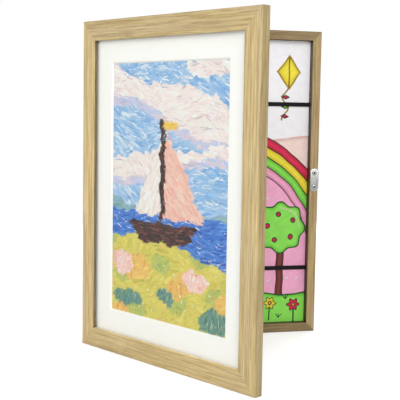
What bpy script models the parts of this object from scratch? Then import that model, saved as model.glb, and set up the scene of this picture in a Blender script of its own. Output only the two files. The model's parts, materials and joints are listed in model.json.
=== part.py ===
"""Front-opening picture frame for children's drawings.

A shallow wooden box stores a pile of drawings behind two elastic straps. A glazed door on two
butt hinges shows one picture behind a mat. Lengths are in metres and +Z is up. The origin is the
middle of the box's underside, and the front faces -Y. The door's pieces are laid out closed, and
hang on an empty on the hinge axis that is turned to the open position.
"""

import math

import bmesh
import bpy
from mathutils import Matrix, Vector

mm = 0.001

# Whole frame
frame_width = 250 * mm
frame_height = 330 * mm
fit_gap = 0.3 * mm
cut_overrun = 2 * mm
mitre_setback = 0.2 * mm
weld_distance = 0.01 * mm
sharp_angle = math.radians(35)
arc_steps = 6
round_steps = 16

# Box walls, seen from the front: the face is wall_width wide
box_depth = 20 * mm
wall_width = 10 * mm
wall_edge_radius = 2 * mm
wall_inner_radius = 0.6 * mm
board_rebate_depth = 6 * mm
board_rebate_width = 5 * mm

# Back board and what it carries
board_thickness = 3 * mm
hanger_length = 45 * mm
hanger_height = 9.5 * mm
hanger_thickness = 0.6 * mm
hanger_foot = 6 * mm
hanger_slope = 2 * mm
hanger_lift = 0.8 * mm
hanger_inset = 28 * mm
tooth_pitch = 3 * mm
tooth_depth = 1.8 * mm
tooth_count = 9
nail_head_radius = 1.5 * mm
nail_head_thickness = 0.5 * mm
nail_shank_radius = 0.6 * mm
nail_sizes = (nail_head_radius, nail_shank_radius, nail_head_thickness)
nail_grip = 2.2 * mm

# Drawings stored in the box
pile_thickness = 5.6 * mm
pile_side_clearance = 0.7 * mm
pile_top_clearance = 4.9 * mm
paper_thickness = 0.3 * mm

# Elastic straps and the brads that pin their ends
strap_width = 4.5 * mm
strap_thickness = 1 * mm
strap_tuck = 5.7 * mm
lower_strap_height = 71 * mm
upper_strap_drop = 79 * mm
brad_head_radius = 1 * mm
brad_head_thickness = 0.5 * mm
brad_shank_radius = 0.5 * mm
brad_sizes = (brad_head_radius, brad_shank_radius, brad_head_thickness)
brad_nose = 3 * mm

# Door moulding, and the pack of sheets in its rebate
moulding_width = 20 * mm
door_depth = 10 * mm
moulding_edge_radius = 2 * mm
moulding_inner_radius = 0.6 * mm
lip_depth = 3.4 * mm
glass_rebate_width = 5 * mm
pack_clearance = 0.5 * mm
glazing_thickness = 1.2 * mm
mat_thickness = 1.4 * mm
mat_border = 23 * mm
picture_side_margin = 4.5 * mm
picture_end_margin = 1 * mm
card_thickness = 1 * mm

# Thin steel tabs and points that hold the card and the board
tab_width = 6 * mm
tab_length = 12 * mm
tab_thickness = 0.5 * mm
tab_root = 4 * mm
point_root = 3.2 * mm
tab_height_shares = (0.25, 0.75)

# Hinges
leaf_length = 25 * mm
leaf_reach = 8.5 * mm
leaf_thickness = 0.7 * mm
leaf_clearance = 0.4 * mm
knuckle_radius = 1.7 * mm
knuckle_wood_gap = 0.1 * mm
pin_radius = 0.8 * mm
pin_head_radius = 1.4 * mm
pin_head_thickness = 0.6 * mm
hinge_inset = 50 * mm
hinge_screw_side = 4.8 * mm
hinge_screw_end = 6 * mm
door_open_angle = math.radians(62)

# Magnetic catch
plate_width = 9.6 * mm
plate_height = 25.6 * mm
plate_thickness = 0.8 * mm
plate_screw_end = 5.05 * mm
catch_height = 169 * mm
magnet_radius = 4 * mm
magnet_thickness = 3 * mm

# Countersunk screws: head radius, shank radius, head depth, length and cross slot
hinge_screw = dict(head=1.9 * mm, shank=0.95 * mm, cone=0.95 * mm, length=7 * mm,
                   slot=2.4 * mm, slot_width=0.5 * mm, slot_depth=0.45 * mm)
plate_screw = dict(head=2.3 * mm, shank=1.2 * mm, cone=1.2 * mm, length=8 * mm,
                   slot=2.8 * mm, slot_width=0.6 * mm, slot_depth=0.6 * mm)
screw_rim = 0.1 * mm
screw_tip = 1.5 * mm

# Places that follow from the sizes. Depths are Y values, and the box's front is at box_front.
box_front = -box_depth / 2
box_back = box_depth / 2
board_shelf = box_back - board_rebate_depth
board_front = board_shelf + fit_gap
board_back = board_front + board_thickness
pile_back = board_front - fit_gap
pile_front = pile_back - pile_thickness
sheet_front = pile_front - fit_gap - paper_thickness
strap_back = sheet_front - fit_gap
strap_middle = strap_back - strap_thickness / 2
door_gap = leaf_clearance + 2 * (leaf_thickness + fit_gap)
door_back = box_front - door_gap
door_front = door_back - door_depth
glazing_front = door_front + lip_depth + fit_gap
mat_front = glazing_front + glazing_thickness + fit_gap
picture_front = mat_front + mat_thickness + fit_gap
card_front = picture_front + paper_thickness + fit_gap
tab_front = card_front + card_thickness + fit_gap
point_front = board_back + fit_gap
hinge_offset = knuckle_radius + knuckle_wood_gap
hinge_axis = Vector((-frame_width / 2 - hinge_offset, box_front - door_gap / 2, 0))
strap_heights = {"lower": lower_strap_height, "upper": frame_height - upper_strap_drop}
hinge_heights = {"lower": hinge_inset, "upper": frame_height - hinge_inset}
box_opening_width = frame_width - 2 * wall_width
box_opening_height = frame_height - 2 * wall_width
pack_width = frame_width - 2 * (moulding_width - glass_rebate_width + pack_clearance)
pack_height = frame_height - 2 * (moulding_width - glass_rebate_width + pack_clearance)

facing_front = (math.radians(90), 0, 0)
facing_back = (math.radians(-90), 0, 0)


def clear_scene():
    """Remove every object, so that the script starts from nothing."""
    for old in list(bpy.data.objects):
        bpy.data.objects.remove(old, do_unlink=True)


def new_collection(name):
    """Add a collection to the scene."""
    collection = bpy.data.collections.new(name)
    bpy.context.scene.collection.children.link(collection)
    return collection


def new_material(name, colour, roughness, metallic=0.0):
    """A Principled material of one colour."""
    made = bpy.data.materials.new(name)
    made.use_nodes = True
    shader = made.node_tree.nodes["Principled BSDF"]
    shader.inputs["Base Color"].default_value = (*colour, 1)
    shader.inputs["Roughness"].default_value = roughness
    shader.inputs["Metallic"].default_value = metallic
    return made


clear_scene()
parts = new_collection("childrens_art_frame")
cutters = new_collection("cutters")

oak = new_material("oak", (0.58, 0.45, 0.23), 0.55)
steel = new_material("steel", (0.62, 0.62, 0.62), 0.3, 1.0)
brass = new_material("brass", (0.72, 0.55, 0.25), 0.35, 1.0)
black_elastic = new_material("black_elastic", (0.01, 0.01, 0.01), 0.8)
clear_sheet = new_material("clear_sheet", (0.9, 0.95, 0.95), 0.05)
white_mat = new_material("white_mat", (0.86, 0.85, 0.8), 0.9)
paper = new_material("paper", (0.85, 0.84, 0.82), 0.8)
drawing = new_material("drawing", (0.75, 0.55, 0.6), 0.7)
picture = new_material("picture", (0.35, 0.55, 0.75), 0.6)
grey_card = new_material("grey_card", (0.45, 0.4, 0.32), 0.9)
brown_board = new_material("brown_board", (0.25, 0.16, 0.09), 0.8)
magnet_metal = new_material("magnet_metal", (0.4, 0.4, 0.42), 0.25, 1.0)

door_axis = bpy.data.objects.new("door_axis", None)
parts.objects.link(door_axis)
door_axis.location = hinge_axis
door_axis.rotation_euler = (0, 0, -door_open_angle)


def keep(name, mesh, made_of=None):
    """Make an object of a mesh: a part if it has a material, and otherwise a cutter."""
    piece = bpy.data.objects.new(name, mesh)
    if made_of is None:
        cutters.objects.link(piece)
        piece.hide_render = True
        piece.display_type = "WIRE"
    else:
        parts.objects.link(piece)
        mesh.materials.append(made_of)
    return piece


def place(piece, point, turn=(0, 0, 0), on_door=False):
    """Put a piece at a point of the closed frame, and hang it on the door if it belongs there."""
    piece.location = Vector(point)
    piece.rotation_euler = turn
    if on_door:
        piece.location = Vector(point) - hinge_axis
        piece.parent = door_axis
    return piece


def cut(piece, cutter):
    """Cut a piece with a cutter."""
    step = piece.modifiers.new("cut", "BOOLEAN")
    step.operation = "DIFFERENCE"
    step.solver = "EXACT"
    step.object = cutter


def block(name, size, made_of=None):
    """A box with its middle at the object's origin."""
    mesh = bpy.data.meshes.new(name)
    shape = bmesh.new()
    bmesh.ops.create_cube(shape, size=1)
    bmesh.ops.scale(shape, vec=size, verts=shape.verts)
    shape.to_mesh(mesh)
    shape.free()
    return keep(name, mesh, made_of)


def outline_mesh(name, outlines, thickness):
    """A flat outline, with any holes, as a closed mesh that is thick along Z about the origin."""
    curve = bpy.data.curves.new(name, "CURVE")
    curve.dimensions = "2D"
    curve.fill_mode = "BOTH"
    curve.extrude = thickness / 2
    for points in outlines:
        spline = curve.splines.new("POLY")
        spline.points.add(len(points) - 1)
        spline.use_cyclic_u = True
        for target, point in zip(spline.points, points):
            target.co = (point[0], point[1], 0, 1)
    drawn = bpy.data.objects.new(name, curve)
    parts.objects.link(drawn)
    seen = drawn.evaluated_get(bpy.context.evaluated_depsgraph_get())
    mesh = bpy.data.meshes.new_from_object(seen)
    bpy.data.objects.remove(drawn, do_unlink=True)
    shape = bmesh.new()
    shape.from_mesh(mesh)
    bmesh.ops.remove_doubles(shape, verts=shape.verts, dist=weld_distance)
    bmesh.ops.recalc_face_normals(shape, faces=shape.faces)
    shape.to_mesh(mesh)
    shape.free()
    mesh.name = name
    mesh.materials.clear()
    mesh.shade_smooth()
    mesh.set_sharp_from_angle(angle=sharp_angle)
    return mesh


def turned(name, profile, made_of=None):
    """A turned piece about Z. The profile runs from the top of the axis to its bottom."""
    mesh = bpy.data.meshes.new(name)
    shape = bmesh.new()
    corners = [shape.verts.new((radius, 0, height)) for radius, height in profile]
    for start, end in zip(corners, corners[1:]):
        shape.edges.new((start, end))
    shape.to_mesh(mesh)
    shape.free()
    piece = keep(name, mesh, made_of)
    lathe = piece.modifiers.new("turn", "SCREW")
    lathe.steps = round_steps
    lathe.render_steps = round_steps
    lathe.use_merge_vertices = True
    lathe.merge_threshold = weld_distance
    return piece


def arc(middle, radius, first, last, steps):
    """Points along an arc, with its angles in degrees."""
    turns = [math.radians(first + (last - first) * step / steps) for step in range(steps + 1)]
    return [(middle[0] + radius * math.cos(turn), middle[1] + radius * math.sin(turn)) for turn in turns]


def rectangle(width, height):
    """The corners of a rectangle about the origin."""
    x = width / 2
    y = height / 2
    return [(-x, -y), (x, -y), (x, y), (-x, y)]


def countersunk(name, sizes, made_of):
    """A countersunk screw with a cross slot, its head at the origin and its shank down -Z."""
    profile = [
        (0, 0),
        (sizes["head"], 0),
        (sizes["head"], -screw_rim),
        (sizes["shank"], -sizes["cone"]),
        (sizes["shank"], screw_tip - sizes["length"]),
        (0, -sizes["length"]),
    ]
    return turned(name, profile, made_of)


def screw_hole(name, sizes):
    """The hole for a countersunk screw, open above its head."""
    profile = [
        (0, cut_overrun),
        (sizes["head"] + fit_gap, cut_overrun),
        (sizes["head"] + fit_gap, -screw_rim),
        (sizes["shank"] + fit_gap, -sizes["cone"]),
        (sizes["shank"] + fit_gap, -sizes["length"] - fit_gap),
        (0, -sizes["length"] - fit_gap),
    ]
    return turned(name, profile)


def cross_slot(name, sizes):
    """The cross-shaped cutter for a screw's head."""
    arm = sizes["slot"] / 2
    half = sizes["slot_width"] / 2
    quarter = [(arm, -half), (arm, half), (half, half)]
    points = []
    for turn in range(4):
        spin = Matrix.Rotation(math.radians(90 * turn), 2)
        points += [tuple(spin @ Vector(point)) for point in quarter]
    return keep(name, outline_mesh(name, [points], 2 * sizes["slot_depth"]))


def fasten(name, sizes, made_of, point, turn, through, on_door=False):
    """Drive a countersunk screw at a point, and cut its hole in the pieces that it goes through."""
    screw = place(countersunk(name, sizes, made_of), point, turn, on_door)
    cut(screw, place(cross_slot("slot_of_" + name, sizes), point, turn, on_door))
    hole = place(screw_hole("hole_of_" + name, sizes), point, turn, on_door)
    for piece in through:
        cut(piece, hole)


def headed_pin(name, sizes, length, point, turn, through, sunk):
    """A nail with its head's top at a point and its shank down -Z, and its hole in what it goes through."""
    head, shank, thickness = sizes
    pin_profile = [
        (0, 0),
        (head, 0),
        (head, -thickness),
        (shank, -thickness),
        (shank, -length),
        (0, -length),
    ]
    place(turned(name, pin_profile, steel), point, turn)
    mouth = head + fit_gap if sunk else shank + fit_gap
    hole_profile = [
        (0, cut_overrun),
        (mouth, cut_overrun),
        (mouth, -thickness - fit_gap),
        (shank + fit_gap, -thickness - fit_gap - weld_distance),
        (shank + fit_gap, -length - fit_gap),
        (0, -length - fit_gap),
    ]
    hole = place(turned("hole_of_" + name, hole_profile), point, turn)
    for piece in through:
        cut(piece, hole)


def section(width, depth, edge_radius, inner_radius, shelf, rebate_width):
    """A wall's cross-section: X from its outer edge inwards, Y from its front backwards."""
    outer = arc((edge_radius, edge_radius), edge_radius, 180, 270, arc_steps)
    inner = arc((width - inner_radius, inner_radius), inner_radius, 270, 360, arc_steps // 2)
    rebate = [(width, shelf), (width - rebate_width, shelf), (width - rebate_width, depth)]
    return [(0, depth), *outer, *inner, *rebate]


def mitred_sides(names, profile, front, on_door=False):
    """Four mitred sides about an opening: left, right, bottom and top, each along its own length."""
    sides = {
        "left": (frame_height, (-frame_width / 2, front, frame_height / 2), 0),
        "right": (frame_height, (frame_width / 2, front, frame_height / 2), 180),
        "bottom": (frame_width, (0, front, 0), -90),
        "top": (frame_width, (0, front, frame_height), 90),
    }
    made = {}
    for side, (length, point, degrees) in sides.items():
        mesh = outline_mesh(names[side], [profile], length)
        for vertex in mesh.vertices:
            reach = length / 2 - vertex.co.x - mitre_setback
            vertex.co.z = math.copysign(reach, vertex.co.z)
        piece = keep(names[side], mesh, oak)
        made[side] = place(piece, point, (0, math.radians(degrees), 0), on_door)
    return made


def make_box_walls():
    """The box's four mitred walls, with a rebate at the back for the board."""
    names = {
        "left": "box_stile_left",
        "right": "box_stile_right",
        "bottom": "box_rail_bottom",
        "top": "box_rail_top",
    }
    shelf = box_depth - board_rebate_depth
    profile = section(wall_width, box_depth, wall_edge_radius, wall_inner_radius, shelf, board_rebate_width)
    return mitred_sides(names, profile, box_front)


def make_door_moulding():
    """The door's four mitred sides, with a lip in front of the glazing."""
    names = {
        "left": "door_stile_hinge",
        "right": "door_stile_free",
        "bottom": "door_rail_bottom",
        "top": "door_rail_top",
    }
    profile = section(moulding_width, door_depth, moulding_edge_radius, moulding_inner_radius,
                      lip_depth, glass_rebate_width)
    return mitred_sides(names, profile, door_front, on_door=True)


def make_back_board():
    """The board in the box's rebate."""
    inset = wall_width - board_rebate_width + fit_gap
    size = (frame_width - 2 * inset, board_thickness, frame_height - 2 * inset)
    middle = (0, (board_front + board_back) / 2, frame_height / 2)
    return place(block("back_board", size, brown_board), middle)


def make_stored_drawings():
    """A pile of drawings that stands on the bottom wall, and the drawing that shows in front of it."""
    width = box_opening_width - 2 * pile_side_clearance
    height = box_opening_height - fit_gap - pile_top_clearance
    pile = block("stored_drawings", (width, pile_thickness, height), paper)
    place(pile, (0, (pile_front + pile_back) / 2, wall_width + fit_gap + height / 2))
    sheet_size = (box_opening_width - 2 * fit_gap, paper_thickness, box_opening_height - 2 * fit_gap)
    sheet = block("stored_drawing_top", sheet_size, drawing)
    place(sheet, (0, sheet_front + paper_thickness / 2, frame_height / 2))


def make_straps(walls):
    """Two elastic straps. Each end is tucked into a slot in the wall and pinned from the back shelf."""
    reach = box_opening_width / 2 + strap_tuck
    pin_side = box_opening_width / 2 + board_rebate_width / 2
    strap_size = (2 * reach, strap_thickness, strap_width)
    slot_size = [length + 2 * fit_gap for length in strap_size]
    pin_length = board_shelf - fit_gap - box_front - brad_nose
    for level, height in strap_heights.items():
        middle = (0, strap_middle, height)
        strap = place(block("strap_" + level, strap_size, black_elastic), middle)
        slot = place(block("slot_of_strap_" + level, slot_size), middle)
        for side, name in ((-1, "left"), (1, "right")):
            cut(walls[name], slot)
            point = (side * pin_side, board_shelf - fit_gap, height)
            headed_pin("strap_brad_" + level + "_" + name, brad_sizes, pin_length, point, facing_back,
                       (strap, walls[name]), sunk=True)


def make_tab(name, root, front, edge, direction, wall, on_door):
    """A thin steel tab that is pushed into a wall at an edge and lies flat behind the board or card."""
    tip = tab_width / 2
    outline = [(-root, -tip), *arc((tab_length - root - tip, 0), tip, -90, 90, arc_steps), (-root, tip)]
    mesh = outline_mesh(name, [outline], tab_thickness)
    mesh.transform(Matrix.Rotation(math.radians(90), 4, "X"))
    tab = keep(name, mesh, steel)
    point = (edge[0], front + tab_thickness / 2, edge[1])
    turn = (0, math.radians(direction), 0)
    place(tab, point, turn, on_door)
    slot_length = root + fit_gap + cut_overrun
    slot_size = (slot_length, tab_thickness + 2 * fit_gap, tab_width + 2 * fit_gap)
    slot = block("slot_of_" + name, slot_size)
    slot.data.transform(Matrix.Translation((cut_overrun - slot_length / 2, 0, 0)))
    cut(wall, place(slot, point, turn, on_door))


def make_tabs(prefix, root, front, inset, walls, on_door):
    """Two tabs on each upright side and one on each rail. The inset is the edge that they cross."""
    for number, share in enumerate(tab_height_shares, 1):
        height = frame_height * share
        left = (inset - frame_width / 2, height)
        right = (frame_width / 2 - inset, height)
        make_tab(prefix + "_left_" + str(number), root, front, left, 0, walls["left"], on_door)
        make_tab(prefix + "_right_" + str(number), root, front, right, 180, walls["right"], on_door)
    make_tab(prefix + "_bottom", root, front, (0, inset), -90, walls["bottom"], on_door)
    make_tab(prefix + "_top", root, front, (0, frame_height - inset), 90, walls["top"], on_door)


def hanger_mesh(name):
    """A sawtooth plate: two flat feet, and a raised middle with teeth along its lower edge."""
    side = hanger_length / 2
    top = hanger_height / 2
    teeth_start = -tooth_count * tooth_pitch / 2
    teeth = []
    for tooth in range(tooth_count):
        start = teeth_start + tooth * tooth_pitch
        teeth += [(start, -top), (start + tooth_pitch / 2, tooth_depth - top)]
    outline = [(-side, -top), *teeth, (-teeth_start, -top), (side, -top), (side, top), (-side, top)]
    mesh = outline_mesh(name, [outline], hanger_thickness)
    shape = bmesh.new()
    shape.from_mesh(mesh)
    raised = side - hanger_foot - hanger_slope
    for place_of_bend in (-side + hanger_foot, -raised, raised, side - hanger_foot):
        everything = shape.verts[:] + shape.edges[:] + shape.faces[:]
        bmesh.ops.bisect_plane(shape, geom=everything, plane_co=(place_of_bend, 0, 0),
                               plane_no=(1, 0, 0), dist=weld_distance)
    for vertex in shape.verts:
        if abs(vertex.co.x) < raised + weld_distance:
            vertex.co.z += hanger_lift
    bmesh.ops.triangulate(shape, faces=shape.faces)
    shape.to_mesh(mesh)
    shape.free()
    mesh.transform(Matrix.Rotation(math.radians(90), 4, "X"))
    mesh.transform(Matrix.Rotation(math.radians(180), 4, "Z"))
    return mesh


def make_hangers(board):
    """Two sawtooth hangers nailed to the board: one for the upright format, one for the lying one."""
    upright = (0, frame_height - hanger_inset)
    lying = (hanger_inset - frame_width / 2, frame_height / 2)
    foot_middle = hanger_length / 2 - hanger_foot / 2
    for name, point, degrees in (("upright", upright, 0), ("lying", lying, -90)):
        turn = Matrix.Rotation(math.radians(degrees), 3, "Y")
        plate_point = Vector((point[0], board_back + fit_gap + hanger_thickness / 2, point[1]))
        hanger = keep("hanger_" + name, hanger_mesh("hanger_" + name), brass)
        place(hanger, plate_point, (0, math.radians(degrees), 0))
        head_top = board_back + 2 * fit_gap + hanger_thickness + nail_head_thickness
        length = head_top - board_back + nail_grip
        for number, side in enumerate((-1, 1), 1):
            spot = turn @ Vector((side * foot_middle, 0, 0))
            nail_point = (point[0] + spot.x, head_top, point[1] + spot.z)
            headed_pin("hanger_nail_" + name + "_" + str(number), nail_sizes, length, nail_point,
                       facing_back, (hanger, board), sunk=False)


def make_door_pack():
    """What the door holds, from the front: glazing, mat, picture and backing card."""
    middle = frame_height / 2
    glazing = block("glazing", (pack_width, glazing_thickness, pack_height), clear_sheet)
    place(glazing, (0, glazing_front + glazing_thickness / 2, middle), on_door=True)
    window_width = frame_width - 2 * (moulding_width + mat_border)
    window_height = frame_height - 2 * (moulding_width + mat_border)
    outlines = [rectangle(pack_width, pack_height), rectangle(window_width, window_height)]
    mesh = outline_mesh("mat_board", outlines, mat_thickness)
    for vertex in mesh.vertices:
        in_window = abs(vertex.co.x) < pack_width / 2 - mat_border / 2
        if in_window and vertex.co.z > 0:
            vertex.co.x += math.copysign(mat_thickness, vertex.co.x)
            vertex.co.y += math.copysign(mat_thickness, vertex.co.y)
    mesh.transform(Matrix.Rotation(math.radians(90), 4, "X"))
    mat = keep("mat_board", mesh, white_mat)
    place(mat, (0, mat_front + mat_thickness / 2, middle), on_door=True)
    picture_size = (
        pack_width - 2 * picture_side_margin,
        paper_thickness,
        pack_height - 2 * picture_end_margin,
    )
    shown = block("shown_picture", picture_size, picture)
    place(shown, (0, picture_front + paper_thickness / 2, middle), on_door=True)
    card = block("backing_card", (pack_width, card_thickness, pack_height), grey_card)
    place(card, (0, card_front + card_thickness / 2, middle), on_door=True)


def leaf_outline(side):
    """A hinge leaf's section about its pin: a plate on one side of the axis, and the knuckle's ring."""
    near = leaf_clearance / 2
    far = near + leaf_thickness
    end = hinge_offset + leaf_reach
    start_angle = math.degrees(math.asin(far / knuckle_radius))
    end_angle = 360 + math.degrees(math.asin(near / knuckle_radius))
    ring = arc((0, 0), knuckle_radius, start_angle, end_angle, 3 * arc_steps)
    bore = arc((0, 0), pin_radius + fit_gap, 0, 360, round_steps)[:-1]
    outer = [(end, near), (end, far), *ring]
    return [[(x, side * y) for x, y in outer], [(x, side * y) for x, y in bore]]


def make_hinge(level, height, box_wall, door_wall):
    """A butt hinge: two leaves with interlocking knuckles, a pin, and two screws in each leaf."""
    knuckle = leaf_length / 3
    reach_of_notch = hinge_offset + fit_gap
    box_leaf_mesh = outline_mesh("hinge_leaf_box", leaf_outline(1), leaf_length)
    door_leaf_mesh = outline_mesh("hinge_leaf_door", leaf_outline(-1), leaf_length)
    box_leaf = keep("hinge_leaf_box_" + level, box_leaf_mesh, steel)
    door_leaf = keep("hinge_leaf_door_" + level, door_leaf_mesh, steel)
    axis_point = (hinge_axis.x, hinge_axis.y, height)
    place(box_leaf, axis_point)
    place(door_leaf, axis_point, on_door=True)
    notch_width = reach_of_notch + knuckle_radius + cut_overrun
    notch_x = reach_of_notch - notch_width / 2
    notch_depth = 2 * (knuckle_radius + cut_overrun)
    box_notch = block("notch_box_" + level, (notch_width, notch_depth, knuckle + 2 * fit_gap))
    place(box_notch, (hinge_axis.x + notch_x, hinge_axis.y, height))
    cut(box_leaf, box_notch)
    for side in (-1, 1):
        door_notch = block("notch_door_" + level, (notch_width, notch_depth, knuckle + 2 * fit_gap))
        notch_point = (hinge_axis.x + notch_x, hinge_axis.y, height + side * knuckle)
        cut(door_leaf, place(door_notch, notch_point, on_door=True))
    pin_end = leaf_length / 2 + fit_gap
    pin_profile = [
        (0, pin_end + pin_head_thickness),
        (pin_head_radius, pin_end + pin_head_thickness),
        (pin_head_radius, pin_end),
        (pin_radius, pin_end),
        (pin_radius, -pin_end),
        (pin_head_radius, -pin_end),
        (pin_head_radius, -pin_end - pin_head_thickness),
        (0, -pin_end - pin_head_thickness),
    ]
    place(turned("hinge_pin_" + level, pin_profile, steel), axis_point)
    face = leaf_clearance / 2
    screw_x = -frame_width / 2 + hinge_screw_side
    for number, side in enumerate((-1, 1), 1):
        screw_z = height + side * (leaf_length / 2 - hinge_screw_end)
        ending = level + "_" + str(number)
        fasten("hinge_screw_box_" + ending, hinge_screw, steel, (screw_x, hinge_axis.y + face, screw_z),
               facing_front, (box_leaf, box_wall))
        fasten("hinge_screw_door_" + ending, hinge_screw, steel, (screw_x, hinge_axis.y - face, screw_z),
               facing_back, (door_leaf, door_wall), on_door=True)


def make_catch(box_wall, door_wall):
    """A steel strike plate on the box's front, and a disc magnet sunk in the back of the door."""
    x = frame_width / 2 - wall_width / 2
    end = plate_width / 2
    straight = plate_height / 2 - end
    upper_end = arc((0, straight), end, 0, 180, 2 * arc_steps)
    lower_end = arc((0, -straight), end, 180, 360, 2 * arc_steps)
    mesh = outline_mesh("strike_plate", [upper_end + lower_end], plate_thickness)
    mesh.transform(Matrix.Rotation(math.radians(90), 4, "X"))
    plate = keep("strike_plate", mesh, steel)
    plate_face = box_front - fit_gap - plate_thickness
    place(plate, (x, plate_face + plate_thickness / 2, catch_height))
    screw_reach = plate_height / 2 - plate_screw_end
    for name, side in (("lower", -1), ("upper", 1)):
        point = (x, plate_face, catch_height + side * screw_reach)
        fasten("strike_screw_" + name, plate_screw, steel, point, facing_front, (plate, box_wall))
    magnet_point = (x, plate_face - fit_gap, catch_height)
    profile = [
        (0, 0),
        (magnet_radius, 0),
        (magnet_radius, -magnet_thickness),
        (0, -magnet_thickness),
    ]
    place(turned("door_magnet", profile, magnet_metal), magnet_point, facing_back, on_door=True)
    pocket_profile = [
        (0, cut_overrun),
        (magnet_radius + fit_gap, cut_overrun),
        (magnet_radius + fit_gap, -magnet_thickness - fit_gap),
        (0, -magnet_thickness - fit_gap),
    ]
    pocket = turned("pocket_of_magnet", pocket_profile)
    cut(door_wall, place(pocket, magnet_point, facing_back, on_door=True))


box_walls = make_box_walls()
door_walls = make_door_moulding()
back_board = make_back_board()
make_stored_drawings()
make_straps(box_walls)
make_tabs("board_point", point_root, point_front, wall_width - board_rebate_width, box_walls, on_door=False)
make_hangers(back_board)
make_door_pack()
make_tabs("door_tab", tab_root, tab_front, moulding_width - glass_rebate_width, door_walls, on_door=True)
for hinge_level, hinge_height in hinge_heights.items():
    make_hinge(hinge_level, hinge_height, box_walls["left"], door_walls["left"])
make_catch(box_walls["right"], door_walls["right"])
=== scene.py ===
"""The looks of a front-opening picture frame for children's drawings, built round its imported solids.

The sections follow the frame as it is put together: camera and stage, the box and what it holds, the
door and what it holds, then the hinges and the catch. Lengths are in metres, +Z is up, and the front
of the box faces -Y. The door's pieces are worked out with the door shut, and then swung open.
"""

import json
from math import cos, hypot, pi, radians, sin, tau

import bmesh
import bpy
import numpy as np
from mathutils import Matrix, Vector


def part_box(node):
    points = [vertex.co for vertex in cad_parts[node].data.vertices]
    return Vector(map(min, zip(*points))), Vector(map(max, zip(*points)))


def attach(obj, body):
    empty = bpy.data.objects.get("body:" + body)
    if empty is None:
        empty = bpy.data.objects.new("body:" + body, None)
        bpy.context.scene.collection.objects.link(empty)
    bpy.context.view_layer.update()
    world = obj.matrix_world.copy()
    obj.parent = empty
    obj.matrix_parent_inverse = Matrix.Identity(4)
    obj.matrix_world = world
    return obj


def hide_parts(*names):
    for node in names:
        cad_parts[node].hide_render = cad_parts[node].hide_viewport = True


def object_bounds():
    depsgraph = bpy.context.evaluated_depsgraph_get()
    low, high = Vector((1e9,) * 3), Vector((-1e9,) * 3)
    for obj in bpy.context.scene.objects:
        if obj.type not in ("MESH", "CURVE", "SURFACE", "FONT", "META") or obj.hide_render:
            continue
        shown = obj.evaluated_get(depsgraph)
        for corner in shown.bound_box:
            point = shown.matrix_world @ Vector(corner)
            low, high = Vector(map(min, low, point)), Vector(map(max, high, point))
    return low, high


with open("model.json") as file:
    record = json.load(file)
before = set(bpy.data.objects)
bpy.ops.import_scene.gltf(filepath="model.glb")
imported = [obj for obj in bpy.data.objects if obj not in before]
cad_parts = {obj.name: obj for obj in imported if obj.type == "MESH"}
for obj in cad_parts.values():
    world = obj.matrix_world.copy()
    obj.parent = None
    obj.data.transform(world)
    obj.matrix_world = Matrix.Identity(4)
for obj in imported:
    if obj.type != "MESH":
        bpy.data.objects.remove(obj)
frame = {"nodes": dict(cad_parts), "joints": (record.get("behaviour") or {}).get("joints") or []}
cad_bounds = [list(corner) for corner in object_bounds()]
mm = 0.001


# The camera stands where the photograph was taken: a metre before the frame, to its left and a little
# above its middle, looking slightly down. Its long lens just takes in the open door.
def put(name, data):
    """An object in the scene, made of a camera, a lamp or a mesh."""
    made = bpy.data.objects.new(name, data)
    bpy.context.scene.collection.objects.link(made)
    return made


camera_data = bpy.data.cameras.new("camera")
camera_data.lens = 86.47
camera_data.sensor_width = 36.0
camera = put("camera", camera_data)
camera.location = (-265.4 * mm, -997.9 * mm, 242.0 * mm)
camera.rotation_euler = [radians(degrees) for degrees in (84.721, -0.927, -14.463)]
bpy.context.scene.camera = camera
bpy.context.scene.view_settings.view_transform = "Standard"


# The stage is a pale floor in soft light: a broad lamp before the box, one before the door's face, one
# behind and a small one for glints. Sky and floor look white to the camera, and in metal and glass.
def operator(operation):
    """An operator's two methods: with the wire first, and with the other value first."""
    return (lambda self, other: self.maths(operation, self, other),
            lambda self, other: self.maths(operation, other, self))


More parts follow.
